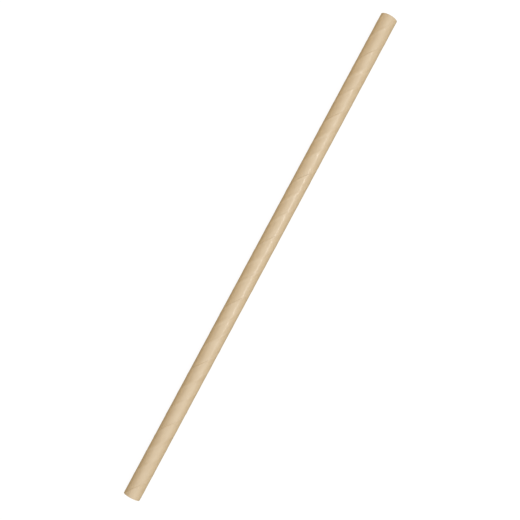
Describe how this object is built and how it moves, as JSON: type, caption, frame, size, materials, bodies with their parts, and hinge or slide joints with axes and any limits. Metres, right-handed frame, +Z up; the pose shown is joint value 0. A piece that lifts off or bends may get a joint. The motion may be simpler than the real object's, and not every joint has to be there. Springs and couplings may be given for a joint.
{
  "type": "drinking straw",
  "caption": "Bare kraft paper drinking straw: a straight thin-walled tube, spirally wound with low right-handed lapped seams, cut square and open at both ends.",
  "frame": {"origin": "on the surface that the straw lies on, under the middle of its length", "axes": "+X along the straw, from the end that is lower in the picture to the upper one, and +Z up, with the straw lying on its side"},
  "size_m": [0.197, 0.0064, 0.0064],
  "materials": {
    "kraft_paper": "calendered, unprinted, with a faint sheen"
  },
  "bodies": {
    "root": {"straw_tube": "kraft_paper"}
  },
  "joints": []
}
